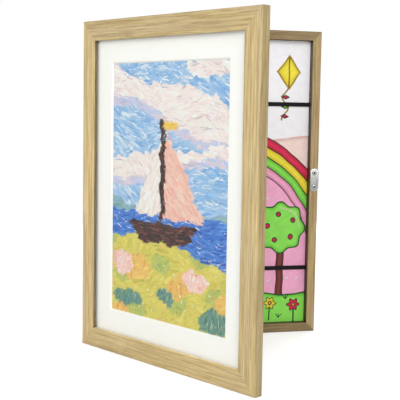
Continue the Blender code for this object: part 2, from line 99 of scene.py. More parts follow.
class Wire:
    """An output of a shader node. Sums on wires add Math nodes, or Vector Math nodes for vectors."""

    __add__, __radd__ = operator("ADD")
    __sub__, __rsub__ = operator("SUBTRACT")
    __mul__, __rmul__ = operator("MULTIPLY")
    __truediv__, __rtruediv__ = operator("DIVIDE")
    __pow__, __rpow__ = operator("POWER")
    least = operator("MINIMUM")[0]
    most = operator("MAXIMUM")[0]

    def __init__(self, owner, socket=None):
        self.owner = owner
        self.socket = socket

    def __abs__(self):
        return self.maths("ABSOLUTE", self)

    def node(self, kind, settings, *values, output=None, **named):
        """Add a node: its settings first, then its open sockets in order or by name, _ for a space."""
        tree = self.owner.node_tree
        made = tree.nodes.new("ShaderNode" + kind)
        for key, value in settings.items():
            setattr(made, key, value)
        sockets = [socket for socket in made.inputs if socket.enabled]
        by_name = {socket.name.replace(" ", "_"): socket for socket in reversed(sockets)}
        pairs = list(zip(sockets, values)) + [(by_name[key], value) for key, value in named.items()]
        for socket, value in pairs:
            if isinstance(value, Wire):
                tree.links.new(value.socket, socket)
            elif socket.type == "RGBA":
                socket.default_value = (*value, 1)
            elif socket.type == "VECTOR" and isinstance(value, (int, float)):
                socket.default_value = (value, value, value)
            else:
                socket.default_value = value
        found = made.outputs[output] if output else next(out for out in made.outputs if out.enabled)
        return Wire(self.owner, found)

    def maths(self, operation, *values):
        """One sum on values, as numbers or as vectors."""
        kinds = [value.socket.type for value in values if isinstance(value, Wire)]
        kind = "VectorMath" if "VECTOR" in kinds or "RGBA" in kinds else "Math"
        return self.node(kind, {"operation": operation}, *values)

    def step(self, low, high):
        """0 below low, 1 above high, and a smooth rise between them."""
        return self.node("MapRange", {"interpolation_type": "SMOOTHSTEP"}, self, low, high)

    def noise(self, waves, detail=2, roughness=0.5, output=None):
        """Noise about 0.5 at a place, with a number of waves per metre, or one for each axis."""
        return self.node("TexNoise", {}, Vector=self * waves, Scale=1.0, Detail=detail,
                         Roughness=roughness, output=output)

    def blend(self, first, second, kind="RGBA"):
        """The first colour, or number, where this is 0, and the second where it is 1."""
        return self.node("Mix", {"data_type": kind}, self, first, second)

    def split(self, axis):
        """One part of a vector."""
        return self.node("SeparateXYZ", {}, self, output=axis)

    def close(self):
        """Lead a shader to the output of its material or world. Returns that material or world."""
        tree = self.owner.node_tree
        kind = "World" if isinstance(self.owner, bpy.types.World) else "Material"
        tree.links.new(self.socket, tree.nodes.new("ShaderNodeOutput" + kind).inputs["Surface"])
        return self.owner

    def surface(self, colour, roughness, relief, **others):
        """Close with a Principled shader. Relief is a height from 0 to 1, its depth and its strength."""
        height, depth, strength = relief
        normal = self.node("Bump", {}, Strength=strength, Distance=depth, Height=height)
        return self.node("BsdfPrincipled", {}, Base_Color=colour, Roughness=roughness, Normal=normal,
                         **others).close()


def new_tree(owner):
    """Clear a material's or world's nodes. Returns a wire to start from."""
    owner.use_nodes = True
    owner.node_tree.nodes.clear()
    return Wire(owner)


def seen_directly(start):
    """1 for rays from the camera, through glass and off metal, and 0 for other light."""
    rays = [start.node("LightPath", {}, output=name)
            for name in ("Is Camera Ray", "Is Transmission Ray", "Is Glossy Ray")]
    return rays[0].most(rays[1]).most(rays[2])


sky_level = 0.40
world = bpy.data.worlds.new("studio")
bpy.context.scene.world = world
start = new_tree(world)
start.node("Background", {}, (1, 1, 1), sky_level + seen_directly(start) * (1 - sky_level)).close()

floor_drop = 0.1 * mm
floor_glow = 0.48
floor_mesh = bpy.data.meshes.new("floor")
floor_mesh.from_pydata([(x, y, -floor_drop) for x, y in ((-1, -1), (1, -1), (1, 1), (-1, 1))], [],
                       [(0, 1, 2, 3)])
floor = put("floor", floor_mesh)
start = new_tree(bpy.data.materials.new("floor"))
glow = start.node("Emission", {}, (1, 1, 1), seen_directly(start) * floor_glow)
pale = start.node("BsdfDiffuse", {}, (0.8, 0.8, 0.8))
floor_mesh.materials.append(start.node("AddShader", {}, pale, glow).close())


def soft_lamp(name, direction, distance, size, level):
    """A square lamp aimed at the frame's middle. A white card facing it there would show the level."""
    data = bpy.data.lights.new(name, "AREA")
    data.size = size
    data.energy = level * pi ** 2 * distance ** 2
    away = np.array(direction) / np.linalg.norm(direction)
    lamp = put(name, data)
    lamp.location = np.mean(cad_bounds, 0) + away * distance
    lamp.rotation_euler = Vector(away).to_track_quat("Z", "Y").to_euler()


soft_lamp("lamp_before_box", (-0.12, -0.86, 0.50), 2.0, 0.9, 0.455)
soft_lamp("lamp_before_door", (-0.93, -0.33, 0.35), 1.9, 1.2, 0.33)
soft_lamp("lamp_behind", (0.60, 0.75, 0.50), 2.2, 1.4, 0.52)
soft_lamp("lamp_for_glints", (0.36, -0.93, 0.15), 2.4, 0.5, 0.09)


# The box's four walls are plain oak strips, mitred and glued at the corners. Each has a rounded front
# edge, a rebate at the back for the board, and blind slots for the ends of the straps.
def light_of(red, green, blue):
    """A colour as a screen shows it, 0 to 255, as the amounts of light that a material takes."""
    shown = np.array((red, green, blue)) / 255
    return tuple(np.where(shown <= 0.04045, shown / 12.92, ((shown + 0.055) / 1.055) ** 2.4).tolist())


def oak_finish(name, pale, deep):
    """Oak cut along the grain: streaks of pale and deep wood, fine fibres and short dark pores.

    The attribute stick holds a point's place in its strip: along it, across its face and into it. The
    attribute shade darkens the wood there: partly each strip's own tone, and partly painted shade where
    less light falls.
    """
    start = new_tree(bpy.data.materials.new(name))
    stick = start.node("Attribute", {"attribute_name": "stick"}, output="Vector")
    shade = start.node("Attribute", {"attribute_name": "shade"}, output="Fac")
    sway = stick.noise((9, 30, 30), 1, output="Color")
    swayed = stick + (sway - 0.5) * (0.0, 2.2 * mm, 2.2 * mm)
    slow = swayed.noise((3, 75, 75), 1).step(0.3, 0.7)
    streak = swayed.noise((14, 520, 520), 3, 0.62).step(0.37, 0.63)
    fibre = swayed.noise((42, 1300, 1300), 3, 0.65).step(0.34, 0.66)
    pore = stick.noise((120, 2600, 2600), 1).step(0.60, 0.72)
    grey = swayed.noise((7, 230, 230), 1).step(0.42, 0.66)
    tone = slow * 0.15 + streak * 0.50 + fibre * 0.35
    colour = tone.blend(pale, deep) * grey.blend((1.0, 1.0, 0.97), (0.94, 0.95, 1.06))
    # The second attribute darkens the colour: partly the strip's tone, partly painted shade.
    return start.surface(colour * ((1 - pore * 0.22) * (1 - shade)), 0.46 + fibre * 0.16,
                         (fibre * 0.5 - pore * 0.5 + 0.5, 0.06 * mm, 0.35))


def unit(vectors):
    """Vectors of the same directions, one long."""
    return vectors / np.linalg.norm(vectors, axis=1)[:, None]


def rounded(corners, radii, steps):
    """A closed outline with square corners rounded: each corner becomes a quarter circle.

    With unit vectors to the corner's neighbours, a point of it is the circle's middle less the radius
    times the cosine of its turn along one and the sine along the other.
    """
    corners = np.array(corners, float)
    radii = np.array(radii, float)[:, None, None]
    back, ahead = (unit(np.roll(corners, way, 0) - corners)[:, None, :] for way in (1, -1))
    turn = np.linspace(0, pi / 2, steps + 1)[None, :, None]
    middles = corners[:, None, :] + radii * (back + ahead)
    return (middles - radii * (ahead * np.cos(turn) + back * np.sin(turn))).reshape(-1, 2)


def grid_faces(rows, columns, closed=False):
    """The four corners of each cell of a grid of points, whose rows may close on themselves."""
    row = np.arange(rows - 1)[:, None] * columns
    column = np.arange(columns if closed else columns - 1)
    beside = (column + 1) % columns
    corners = (row + column, row + columns + column, row + columns + beside, row + beside)
    return np.stack(corners, -1).reshape(-1, 4)


def smooth(mesh, sharp_degrees=35):
    """Shade a mesh smooth, but for its sharp edges."""
    mesh.shade_smooth()
    mesh.set_sharp_from_angle(angle=radians(sharp_degrees))


def new_mesh(points, faces, sharp_degrees=35, turn_out=True):
    """A mesh of points and faces, smooth but for its sharp edges, with its faces turned outwards."""
    mesh = bpy.data.meshes.new("mesh")
    mesh.from_pydata(np.asarray(points, float).reshape(-1, 3).tolist(), [], faces)
    if turn_out:
        shape = bmesh.new()
        shape.from_mesh(mesh)
        bmesh.ops.recalc_face_normals(shape, faces=shape.faces)
        shape.to_mesh(mesh)
        shape.free()
    smooth(mesh, sharp_degrees)
    return mesh


def tube_mesh(rings, **options):
    """A closed solid through like outlines, one a row, with its first and last outline filled."""
    rows, columns = rings.shape[:2]
    faces = grid_faces(rows, columns, closed=True).tolist()
    faces += [list(range(columns)), list(range((rows - 1) * columns, rows * columns))]
    return new_mesh(rings, faces, **options)


def add_piece(name, mesh, body, finish, node):
    """Hang a piece on a body of the frame, in place of the CAD node that it stands for."""
    piece = put(name, mesh)
    mesh.name = name
    mesh.materials.append(finish)
    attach(piece, body)
    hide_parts(node)
    return piece


def cut_out(piece, meshes):
    """Cut closed shapes out of a piece."""
    cutters = [put("cutter", mesh) for mesh in meshes]
    for cutter in cutters:
        step = piece.modifiers.new("cut", "BOOLEAN")
        step.operation, step.solver, step.object = "DIFFERENCE", "EXACT", cutter
    cut = bpy.data.meshes.new_from_object(piece.evaluated_get(bpy.context.evaluated_depsgraph_get()))
    piece.modifiers.clear()
    piece.data = cut
    for cutter in cutters:
        bpy.data.objects.remove(cutter)


def slot_mesh(low, high):
    """A strap's box with a gap all round, closed, with its upright edges rounded."""
    (left, front, bottom), (right, back, top) = low - slot_gap, high + slot_gap
    outline = rounded([(left, front), (right, front), (right, back), (left, back)], [slot_gap] * 4, 3)
    return tube_mesh(np.array([np.c_[outline, np.full(len(outline), z)] for z in (bottom, top)]))


def corners_of(node):
    """The lowest and the highest corner of a CAD node."""
    return [np.array(corner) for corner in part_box(node)]


def places(mesh):
    """The places of a mesh's points, one a row."""
    points = np.empty(len(mesh.vertices) * 3)
    mesh.vertices.foreach_get("co", points)
    return points.reshape(-1, 3)


def mark(mesh, name, kind, values):
    """Keep a value for each of a mesh's points as an attribute."""
    field = {"FLOAT": "value", "FLOAT_VECTOR": "vector", "FLOAT_COLOR": "color"}[kind]
    mesh.attributes.new(name, kind, "POINT").data.foreach_set(field, values.astype(np.float32).ravel())


side_ways = {"left": ((0, 0, 1), (1, 0, 0)), "right": ((0, 0, -1), (-1, 0, 0)),
             "bottom": ((-1, 0, 0), (0, 0, 1)), "top": ((1, 0, 0), (0, 0, -1))}
mitre_hairline = 0.02 * mm
mitre_ease = 0.12 * mm
mitre_ease_length = 0.2 * mm
side_stations = np.linspace(-1, 1, 7)
# From a little behind the face the outer side is painted darker, and past a strip's middle the inner side
# takes its own darkening: painted shade, as on edges turned from the light.
outer_edge = (0.2 * mm, 1.2 * mm)
inner_edge = (0.1 * mm, 0.5 * mm)
painted_outer_shade = 0.19
figure_shift = np.array((0.731, 0.0837, 0.0519))
next_strip = iter(range(8))


def strip_outline(width, rebate, shelf, depth):
    """A strip's outline, across its face and into it: a shelf in front, and a rebate behind it."""
    inner = width - rebate
    corners = [(0, 0), (width, 0), (width, shelf), (inner, shelf), (inner, depth), (0, depth)]
    return rounded(corners, np.array((2, 0.6, 0.3, 0.2, 0.3, 0.5)) * mm, 8)


def strip_rings(outline, length):
    """A strip's outlines along it, from mitre to mitre: along it, across its face and into it.

    A point's reach is half the length less its distance from the outer edge. The last outline at each
    end is drawn in a little, so that the two sides meet in a fine groove.
    """
    ahead = np.roll(outline, -1, 0) - np.roll(outline, 1, 0)
    drawn_in = outline - unit(np.c_[ahead[:, 1], -ahead[:, 0]]) * mitre_ease
    reach = length / 2 - outline[:, 0] - mitre_hairline
    body = [np.c_[share * (reach - mitre_ease_length), outline] for share in side_stations]
    ends = [np.c_[sign * reach, drawn_in] for sign in (-1, 1)]
    return np.array([ends[0], *body, ends[1]])


def add_strip(name, side, body, node, low, high, outline, finish, shades, cutters):
    """A strip on one side of an opening between two corners, cut and marked. Returns its mesh.

    Every strip has a figure of its own. Its two darkenings are those of its face and of its inner side:
    partly the strip's own tone, and partly painted shade, or painted light where below zero. The outer side
    is a little darker than the face: painted shade on the rounded edge.
    """
    along, inwards = (np.array(way, float) for way in side_ways[side])
    ways = np.array((along, inwards, (0, 1, 0)))
    origin = (low + high) / 2 - inwards * abs((high - low) @ inwards) / 2
    origin[1] = low[1]
    rings = origin + strip_rings(outline, abs((high - low) @ along)) @ ways
    strip = add_piece(name, tube_mesh(rings), body, finish, node)
    if cutters:
        cut_out(strip, cutters)
    stick = (places(strip.data) - origin) @ ways.T
    face, inner = shades
    below_outer, below_inner = (np.clip((stick[:, 2] - start) / (end - start), 0, 1)
                                for start, end in (outer_edge, inner_edge))
    shade = face + np.where(stick[:, 1] > outline[:, 0].max() / 2, below_inner * (inner - face),
                            below_outer * painted_outer_shade)
    mark(strip.data, "stick", "FLOAT_VECTOR", stick + next(next_strip) * figure_shift)
    mark(strip.data, "shade", "FLOAT", shade)
    return strip.data


# Each wall gives its face's darkening and its inner side's. The darker top and bottom faces are painted
# shade with a little of their own tone, and the dark inner sides are painted shade.
box_strips = {"left": ("box_stile_left", (0.0, 0.8)), "right": ("box_stile_right", (0.0, 0.8)),
              "bottom": ("box_rail_bottom", (0.42, 0.8)), "top": ("box_rail_top", (0.38, 0.8))}
wall_boxes = np.array([corners_of(node) for node, shades in box_strips.values()])
frame_low, frame_high = wall_boxes[:, 0].min(0), wall_boxes[:, 1].max(0)
wall_width = np.ptp(wall_boxes[2], 0)[2]
board_low = corners_of("back_board")[0]
board_gap = 0.3 * mm
board_rebate = frame_low[0] + wall_width - (board_low[0] - board_gap)
box_outline = strip_outline(wall_width, board_rebate, board_low[1] - board_gap - frame_low[1],
                            frame_high[1] - frame_low[1])
# The box's oak is the door's oak made darker: painted shade, for the shade the box lies in beside the open
# door.
box_oak = oak_finish("box_oak", light_of(198, 171, 119), light_of(139, 113, 70))
levels = ("lower", "upper")
strap_boxes = {level: corners_of("strap_" + level) for level in levels}
slot_gap = 0.3 * mm
for side, (node, shades) in box_strips.items():
    slots = [slot_mesh(*strap) for strap in strap_boxes.values() if side in ("left", "right")]
    add_strip("box_wall_" + side, side, "box", node, frame_low, frame_high, box_outline, box_oak, shades,
              slots)


# The back board is a sheet of brown hardboard, 3 mm thick, laid in the rebate from behind. Its back
# has the mesh print that such board gets in the press.
def new_finish(name):
    """A new material, as a wire that holds a point's place."""
    return new_tree(bpy.data.materials.new(name)).node("TexCoord", {}, output="Object")


def dress(node, finish):
    """Give a CAD node that keeps its own shape its finish."""
    frame["nodes"][node].material_slots[0].material = finish


place = new_finish("hardboard")
fibre = place.noise(700, 4, 0.7)
flecks = place.noise((240, 240, 1500)).step(0.62, 0.72)
browns = light_of(104, 72, 46), light_of(146, 108, 72)
colour = (fibre * 0.9 + place.noise(35) * 0.15).step(0.25, 0.8).blend(*browns)
colour = (flecks * 0.5).blend(colour, light_of(176, 140, 100))
across, up = (place.maths("SINE", place.split(axis) * (tau / (1.6 * mm))) for axis in "XZ")
mesh_print = across.most(up) * 0.5 + 0.5
dress("back_board", place.surface(colour * (0.86 + mesh_print * 0.14), 0.66 + fibre * 0.2,
                                  (mesh_print * 0.7 + fibre * 0.3, 0.12 * mm, 0.6)))


# Framer's points hold the board and flat tabs hold the door's card: thin steel, pushed into the wood at
# one end. They, the nails and the hangers keep their solid's shape, with their edges eased.
def metal_finish(name, colour, roughness, brush, sunk=None):
    """Plated metal: its shine is broken by fine scratches that run the way of its brushing.

    Between two depths along Y, if sunk gives them, it darkens: painted shade in recesses.
    """
    place = new_finish(name)
    scratch = place.noise(brush, 3, 0.6)
    cloud = place.noise(220).step(0.3, 0.7)
    worn_and_shaded = (scratch * 0.6 + cloud * 0.4).blend(tuple(part * 0.72 for part in colour), colour)
    if sunk:
        # Painted shade: darker behind the front, in recesses.
        worn_and_shaded = place.split("Y").step(*sunk).blend(worn_and_shaded, tuple(part * 0.06 for part in colour))
    return place.surface(worn_and_shaded, roughness - 0.08 + scratch * 0.12 + cloud * 0.06,
                         (scratch, 0.02 * mm, 0.4), Metallic=1.0)


zinc = metal_finish("zinc_plate", (0.54, 0.55, 0.56), 0.32, (2600, 2600, 300))


def eased_piece(node, body, ease=0.08 * mm, finish=zinc):
    """A copy of a CAD solid as one smooth skin, with a fine round on its sharp edges."""
    shape = bmesh.new()
    shape.from_mesh(frame["nodes"][node].data)
    bmesh.ops.remove_doubles(shape, verts=shape.verts, dist=0.005 * mm)
    bmesh.ops.dissolve_limit(shape, angle_limit=radians(0.5), verts=shape.verts, edges=shape.edges)
    mesh = bpy.data.meshes.new("mesh")
    shape.to_mesh(mesh)
    shape.free()
    smooth(mesh)
    piece = add_piece("eased_" + node, mesh, body, finish, node)
    step = piece.modifiers.new("ease", "BEVEL")
    step.width, step.segments = ease, 2
    step.limit_method, step.angle_limit = "ANGLE", radians(40)


for spot in ("left_1", "left_2", "right_1", "right_2", "bottom", "top"):
    eased_piece("board_point_" + spot, "box")
    eased_piece("door_tab_" + spot, "door")


# Two sawtooth hangers, one for each way up, are nailed to the board. They are stamped from brass-plated
# steel, with a raised middle whose teeth hook on a nail in the wall.
brass = metal_finish("brass_plate", (0.62, 0.45, 0.19), 0.36, (300, 2200, 2200))
for way_up in ("upright", "lying"):
    eased_piece("hanger_" + way_up, "box", finish=brass)
    for number in "12":
        eased_piece(f"hanger_nail_{way_up}_{number}", "box")


# The stored drawings are a pile of loose sheets that stand on the bottom wall. They are cut alike, but
# no two lie quite level, so the edges of the pile are uneven.
def sheet_faces(rows, columns):
    """The faces of a thin closed sheet: its front grid, its back grid turned round, and its rim."""
    front = grid_faces(rows, columns)
    count = rows * columns
    index = np.arange(count).reshape(rows, columns)
    rim = np.concatenate([index[0, :-1], index[:-1, -1], index[-1, :0:-1], index[:0:-1, 0]])
    onward = np.roll(rim, -1)
    sides = np.stack([rim, onward, onward + count, rim + count], -1)
    return np.concatenate([front, front[:, ::-1] + count, sides])


def sheet_points(low, high, rows, columns, swell):
    """The front and back grid of an upright sheet. Swell is a function of X and Z that moves both."""
    z, x = np.meshgrid(np.linspace(low[2], high[2], rows), np.linspace(low[0], high[0], columns),
                       indexing="ij")
    moved = swell(x, z)
    return np.stack([np.stack([x, y + moved, z], -1) for y in (low[1], high[1])]).reshape(-1, 3)


pile_low, pile_high = corners_of("stored_drawings")
pile_sheets = 22
pile_grid = (13, 10)
pile_air_share = 0.25
pile_shift = 0.25 * mm
pile_curl = 0.04 * mm
random = np.random.default_rng(7)
sheet_pitch = (pile_high[1] - pile_low[1]) / pile_sheets
pile_points, pile_faces = [], []
for number in range(pile_sheets):
    sideways = random.uniform(-pile_shift, pile_shift)
    shorter = random.uniform(0, 3 * pile_shift)
    front = pile_low[1] + sheet_pitch * (number + pile_air_share / 2)
    low = np.array((pile_low[0] + pile_shift + sideways, front, pile_low[2]))
    high = np.array((pile_high[0] - pile_shift + sideways, front + sheet_pitch * (1 - pile_air_share),
                     pile_high[2] - shorter))
    phase = random.uniform(0, tau, 2)
    sheet = sheet_points(low, high, *pile_grid, lambda x, z: pile_curl * np.sin(x * 35 + phase[0])
                         * np.sin(z * 24 + phase[1]))
    pile_faces.append(sheet_faces(*pile_grid) + len(sheet) * number)
    pile_points.append(sheet)

place = new_finish("pile_paper")
tooth = place.noise(1300, 3)
tone = place.noise(60).step(0.3, 0.7) * 0.6 + tooth * 0.4
paper = light_of(240, 238, 232)
pile_paper = place.surface(tone.blend(tuple(part * 0.94 for part in paper), paper), 0.85,
                           (tooth, 0.04 * mm, 0.3))
pile_mesh = new_mesh(np.concatenate(pile_points), np.concatenate(pile_faces).tolist())
add_piece("pile_of_sheets", pile_mesh, "box", pile_paper, "stored_drawings")


# The drawing in front of the pile is a child's felt-pen picture on white paper: a kite, a rainbow in a
# pink sky, apple trees and a house in a green meadow. The paper swells a little between the straps.
top_low, top_high = corners_of("stored_drawing_top")
left, right, top = top_low[0] / mm, top_high[0] / mm, top_high[2] / mm
pen_place = new_finish("felt_pen_drawing")

# The drawing's lengths are in millimetres. Its places are moved by a little noise, as a hand wobbles.
moved = pen_place / mm + (pen_place.noise(38, 1, output="Color") - 0.5) * 4.5
x, z = moved.split("X"), moved.split("Z")
slanted = pen_place.node("Mapping", {}, Vector=pen_place, Rotation=(0, radians(35), 0))
hatching = slanted.noise((30, 1, 520)).step(0.3, 0.7)
blots = pen_place.noise(110).step(0.35, 0.65)
pen_softness = 0.12
rim_shade = 5
bare_depth = 1000
black, white = (44, 30, 38), (247, 247, 249)
crimson, pink = (226, 36, 88), (252, 178, 212)
yellow, amber, ochre, brown = (250, 232, 64), (250, 200, 60), (176, 148, 46), (132, 52, 44)
leaf, dark_green = (142, 232, 88), (22, 92, 32)
sheet = [(blots * 0.5).blend(light_of(*white), light_of(240, 236, 246)), bare_depth]


def draw(inside, colour, line=black, width=0.55):
    """Colour in a shape, given by how far a point lies inside it, and draw its outline.

    The sheet is its colour and its depth, which is how far a point lies inside the last shape there.
    """
    cover = inside.step(-pen_softness, pen_softness)
    drawn = 1 - abs(inside).step(width - pen_softness, width + pen_softness)
    filled = cover.blend(sheet[0], light_of(*colour))
    sheet[:] = drawn.blend(filled, light_of(*line)), cover.blend(sheet[1], inside, "FLOAT")


def offset(middle):
    """How far a point lies from a middle: across, up and straight."""
    across, up = x - middle[0], z - middle[1]
    return across, up, (across * across + up * up) ** 0.5


def disc(middle, radius, lobes=0, lobe_share=0.0):
    """A circle, or a flower whose radius swells by a share of itself with each lobe."""
    across, up, away = offset(middle)
    if lobes:
        turn = x.maths("ARCTAN2", up, across) * lobes
        radius = radius * (1 + x.maths("COSINE", turn) * lobe_share)
    return radius - away


def bow(middle, radius, width):
    """One band of a rainbow."""
    return width / 2 - abs(disc(middle, radius))


def bar(middle, width, height):
    """A rectangle."""
    return (width / 2 - abs(x - middle[0])).least(height / 2 - abs(z - middle[1]))


def diamond(middle, width, height):
    """A diamond."""
    lean = 1 - abs(x - middle[0]) / (width / 2) - abs(z - middle[1]) / (height / 2)
    return lean * (width * height / (2 * hypot(width, height)))


def gable(middle, width, height):
    """A triangle on its base: the middle is that of the base."""
    slope = height / (width / 2)
    lean = height - (z - middle[1]) - abs(x - middle[0]) * slope
    return (lean / hypot(1, slope)).least(z - middle[1])


def tufts(spacing, height):
    """A row of tufts, each of three blades of grass that spread from one root."""
    beside = abs(x.maths("WRAP", x, spacing / 2, -spacing / 2))
    up = z - height - x.maths("SINE", x * 0.06) * 3
    outer = 0.4 - abs(beside * cos(0.6) - up * sin(0.6))
    return outer.most(0.4 - beside).least(up).least(5 - up)


def snow(spacing, size):
    """Dots strewn over the sheet."""
    flat = x.node("CombineXYZ", {}, x, z, 0.0)
    away = flat.node("TexVoronoi", {"voronoi_dimensions": "2D"}, Vector=flat, Scale=1 / spacing,
                     output="Distance")
    return size - away * spacing


def apples(crown, ring, size):
    """Five discs round a crown: the turn is folded, so that one disc stands for all."""
    across, up, away = offset(crown)
    half = pi / 5
    turn = x.maths("WRAP", x.maths("ARCTAN2", up, across) - 0.5, half, -half)
    out, aside = away * x.maths("COSINE", turn) - ring, away * x.maths("SINE", turn)
    return size - (out * out + aside * aside) ** 0.5


def hill(height, swell, length, shift):
    """Everything below a wave."""
    return height + x.maths("SINE", x * (tau / length) + shift) * swell - z


sun = (left + 38, top - 42)
draw(disc(sun, 21, 11, 0.16), yellow, ochre)
draw(disc(sun, 14), amber, ochre)
cloud = disc((6, top - 30), 9).most(disc((18, top - 26), 12)).most(disc((31, top - 31), 8))
draw(cloud, (250, 250, 252), (120, 140, 190))
draw(hill(212, 5, 170, 3.4), (252, 226, 218), (250, 214, 208))
rainbow = (4, 76)
draw(hill(180, 13, 150, 0.4).most(disc(rainbow, 120)), pink, (248, 160, 202))
draw(snow(24, 1.1).least(176 - z), white, white, 0.2)
for radius, colour in ((147.5, crimson), (138.5, yellow), (129.5, leaf), (120.5, pink)):
    draw(bow(rainbow, radius, 9), colour)
kite = (right - 24, top - 34)
string = abs(x - (kite[0] - 4) - x.maths("SINE", z * (tau / 24)) * 3.5)
draw((0.5 - string).least(kite[1] - 17 - z).least(z - (kite[1] - 52)), ochre, ochre)
for drop, colour in ((27, crimson), (38, leaf), (48, crimson)):
    draw(diamond((kite[0] - 4, kite[1] - drop), 8, 4), colour)
draw(diamond(kite, 26, 36), yellow, ochre, 0.8)
draw(bar(kite, 0.8, 34), ochre, ochre)
draw(bar((-46, 74), 62, 52), yellow)
draw(gable((-46, 100), 76, 30), crimson)
draw(bar((-58, 66), 15, 34), brown)
for size, colour in (((18, 18), (190, 226, 246)), ((0.6, 18), black), ((18, 0.6), black)):
    draw(bar((-32, 78), *size), colour)
for trunk, spread in ((85, 27), (18, 20)):
    crown = (trunk, 62 + 2 * spread)
    draw(bar((trunk, 55), 8, 80), brown)
    draw(disc(crown, spread, 8, 0.07), leaf, dark_green, 0.8)
    shine = bow(crown, 0.80 * spread, 1.8).least(x - crown[0]).least(z - crown[1])
    draw(shine, (224, 250, 190), (206, 244, 160), 0.3)
    draw(apples(crown, 0.58 * spread, 2.6), crimson)
draw(hill(50, 9, 210, 2.0), leaf, dark_green, 0.8)
for spacing, height in ((31, 38), (43, 17)):
    draw(tufts(spacing, height), dark_green, dark_green, 0.1)
for across, colour in ((-92, yellow), (-8, crimson), (38, pink), (74, yellow), (102, crimson)):
    flower = (across, 34 - 0.04 * abs(across))
    draw(bar((across, flower[1] - 10), 0.7, 18), dark_green, dark_green)
    draw(disc(flower, 6, 6, 0.22), colour)
    draw(disc(flower, 2), amber)

# The colours are darker near each shape's rim, and uneven by strokes that run one way.
colours, depth = sheet
inked = 1 - depth.step(0.4 * bare_depth, 0.5 * bare_depth)
rims = (1 - depth.step(0, rim_shade)) * inked
rich = x.node("Gamma", {}, colours, 1.45) * 0.78
uneven = 1 - (1 - (hatching * 0.6 + blots * 0.4)) * inked * 0.14
pen_drawing = x.surface(rims.blend(colours, rich) * uneven, 0.7, (pen_place.noise(1500), 0.03 * mm, 0.25))
sheet_swell = 0.14 * mm
strap_levels = [(low[2] + high[2]) / 2 for low, high in strap_boxes.values()]


def swell_between_straps(x, z):
    """Forward by a half wave between the straps and beyond them, and by a slow wave across."""
    span = strap_levels[1] - strap_levels[0]
    return -sheet_swell * np.abs(np.sin((z - strap_levels[0]) / span * pi)) * np.cos(x * 13) ** 2


top_points = sheet_points(top_low, top_high, 60, 44, swell_between_straps)
top_mesh = new_mesh(top_points, sheet_faces(60, 44).tolist())
add_piece("felt_pen_drawing", top_mesh, "box", pen_drawing, "stored_drawing_top")


# Two straps of black woven elastic lie across the drawings. Each is a flat ribbed band, and its ends
# are tucked into slots in the walls, where brads driven from behind pin them.
place = new_finish("black_elastic")
wrap = place.maths("SINE", place.split("X") * (tau / (0.45 * mm))) * 0.5 + 0.5
thread = (wrap * 0.6 + place.noise(2500) * 0.6).step(0.2, 0.9)
elastic = place.surface(thread.blend(light_of(6, 6, 8), light_of(26, 26, 29)), 0.85,
                        (thread, 0.08 * mm, 0.7), Specular_IOR_Level=0.25)
strap_ribs = 5
rib_height = 0.12 * mm
strap_stations = 90


def strap_mesh(low, high):
    """A ribbed band along X: a flat oval whose two faces rise and fall with the cords inside.

    With c the cosine and s the sine of the turn round the oval, the height is half the width times c,
    and the depth is half the thickness times s, both to a low power, plus a wave of c on the faces.
    """
    middle, half = (low + high) / 2, (high - low) / 2
    turn = np.linspace(0, tau, 72, endpoint=False)
    across, out = np.cos(turn), np.sin(turn)
    wide = np.sign(across) * np.abs(across) ** 0.55
    thick = np.sign(out) * np.abs(out) ** 0.45
    wave = 0.5 - 0.5 * np.cos(wide * strap_ribs * pi + pi)
    y = thick * (half[1] - rib_height * wave) + middle[1]
    along = np.linspace(low[0], high[0], strap_stations)[:, None]
    rings = np.stack(np.broadcast_arrays(along, y, wide * half[2] + middle[2]), -1)
    return tube_mesh(rings, sharp_degrees=60)


for level, (low, high) in strap_boxes.items():
    add_piece("elastic_strap_" + level, strap_mesh(low, high), "box", elastic, "strap_" + level)
    for side in ("left", "right"):
        eased_piece(f"strap_brad_{level}_{side}", "box", 0.04 * mm)


# The door's moulding is four mitred oak sides, wider than the box's walls, with a rounded outer edge
# and a thin lip in front that the glazing lies behind.
hinge = frame["joints"][0]
hinge_point = np.array(hinge["pos_m"])
open_angle = radians(-hinge["range_deg"][0])


def swing(points, angle):
    """Points turned about the upright hinge axis: opening the door is a turn below zero."""
    c, s = cos(angle), sin(angle)
    turn = np.array(((c, s, 0), (-s, c, 0), (0, 0, 1)))
    return (points - hinge_point) @ turn + hinge_point


def shut_points(node):
    """The corners of a door node's faces when the door is shut."""
    return swing(places(frame["nodes"][node].data), open_angle)


def shut_box(node):
    """The lowest and the highest corner of a door node when the door is shut."""
    points = shut_points(node)
    return points.min(0), points.max(0)


def open_door(mesh):
    """Swing a mesh that was made with the door shut to its open place."""
    mesh.vertices.foreach_set("co", swing(places(mesh), -open_angle).astype(np.float32).ravel())
    mesh.update()


def turned_mesh(profile, middle, steps=40):
    """A turned solid about an axis along Y: radius and depth pairs, from the front of the axis back."""
    turn = np.linspace(0, tau, steps, endpoint=False)
    radius, depth = np.array(profile, float).T[:, :, None]
    rings = np.broadcast_arrays(middle[0] + radius * np.cos(turn), depth, middle[2] + radius * np.sin(turn))
    return tube_mesh(np.stack(rings, -1))


